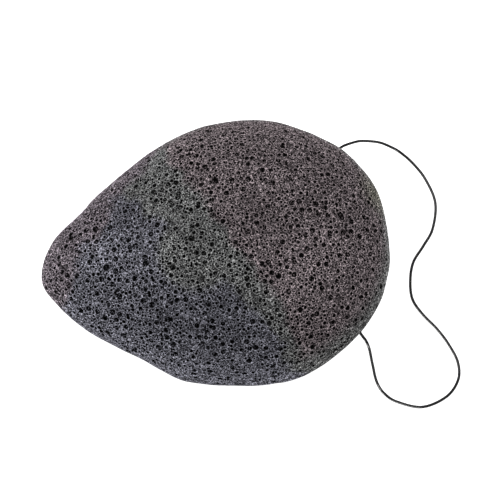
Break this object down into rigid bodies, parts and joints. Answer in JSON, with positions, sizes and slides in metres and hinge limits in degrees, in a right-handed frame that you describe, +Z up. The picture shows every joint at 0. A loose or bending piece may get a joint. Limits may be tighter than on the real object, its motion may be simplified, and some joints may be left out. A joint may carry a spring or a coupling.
{
  "type": "konjac sponge",
  "caption": "Drop-shaped open-celled facial sponge lying on its belly, with a thin dark string threaded through its round end as a hanging loop.",
  "frame": {"origin": "on the table under the middle of the sponge's length and width", "axes": "+X from the pointed tip to the round end, +Y along the string's channel, +Z up from the belly to the crown"},
  "size_m": [0.1002, 0.0735, 0.038],
  "materials": {
    "sponge": "dry open-celled plant-fibre foam, charcoal grey",
    "string": "smooth waxed cord, near black"
  },
  "bodies": {
    "sponge": {"sponge_body": "sponge"},
    "string": {"string_loop": "string", "string_thread_far": "string", "string_thread_near": "string", "string_knot": "string", "string_tails": "string"}
  },
  "joints": [
    {"name": "loop_swing", "type": "hinge", "parent": "sponge", "child": "string", "pos_m": [0.0322, 0, 0.014], "axis": [0, -1, 0], "range_deg": [0, 130]}
  ]
}
